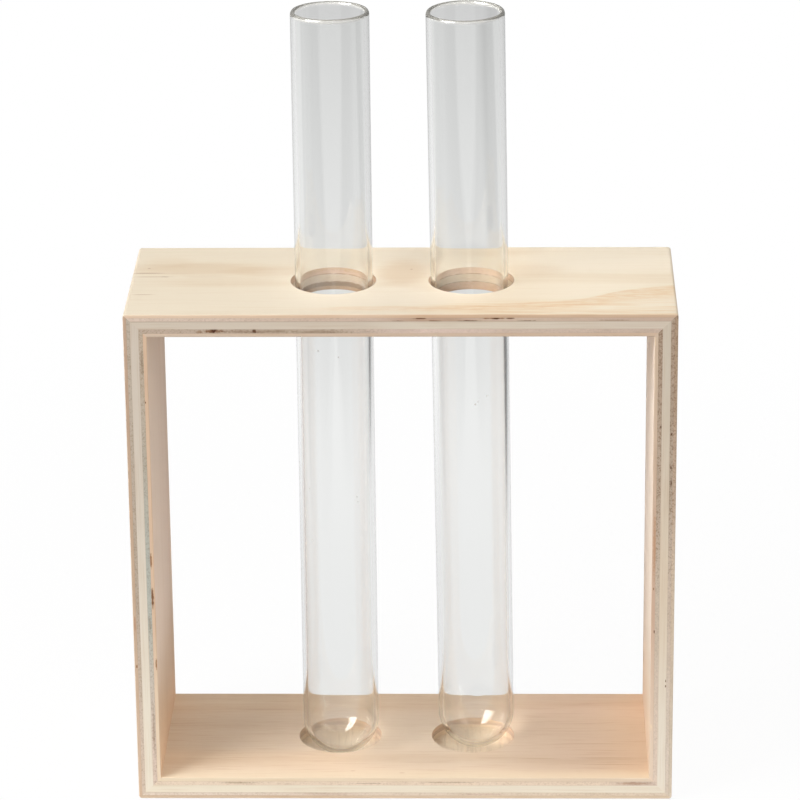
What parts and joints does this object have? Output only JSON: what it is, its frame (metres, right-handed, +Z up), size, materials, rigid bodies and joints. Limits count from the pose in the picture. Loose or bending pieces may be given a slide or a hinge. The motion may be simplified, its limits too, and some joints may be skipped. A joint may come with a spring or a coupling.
{
  "type": "test tube vase",
  "caption": "Free-standing open plywood frame that holds glass test tubes upright as bud vases for single stems.",
  "frame": {"origin": "middle of the frame's underside, on the surface that it stands on", "axes": "+Z up along the tubes, +X along the frame's width to the right, +Y to the back through its open window"},
  "size_m": [0.14, 0.053, 0.2068],
  "materials": {
    "face_veneer": "sanded, unfinished pale veneer",
    "crossband": "sawn and sanded edge of a cross-grain sheet",
    "core": "sawn and sanded edge of the middle sheet",
    "glass": "clear, thin, polished"
  },
  "bodies": {
    "frame": {"bottom_board_outer_veneer": "face_veneer", "bottom_board_outer_crossband": "crossband", "bottom_board_core": "core", "bottom_board_inner_crossband": "crossband", "bottom_board_inner_veneer": "face_veneer", "top_board_outer_veneer": "face_veneer", "top_board_outer_crossband": "crossband", "top_board_core": "core", "top_board_inner_crossband": "crossband", "top_board_inner_veneer": "face_veneer", "left_board_outer_veneer": "face_veneer", "left_board_outer_crossband": "crossband", "left_board_core": "core", "left_board_inner_crossband": "crossband", "left_board_inner_veneer": "face_veneer", "right_board_outer_veneer": "face_veneer", "right_board_outer_crossband": "crossband", "right_board_core": "core", "right_board_inner_crossband": "crossband", "right_board_inner_veneer": "face_veneer"},
    "left_tube": {"left_tube": "glass"},
    "right_tube": {"right_tube": "glass"}
  },
  "joints": [
    {"name": "left_tube_lift", "type": "slide", "parent": "frame", "child": "left_tube", "axis": [-0.0013, 0.0159, 0.9999], "range_m": [0, 0.14]},
    {"name": "right_tube_lift", "type": "slide", "parent": "frame", "child": "right_tube", "axis": [-0.0111, -0.0093, 0.9999], "range_m": [0, 0.14]}
  ]
}
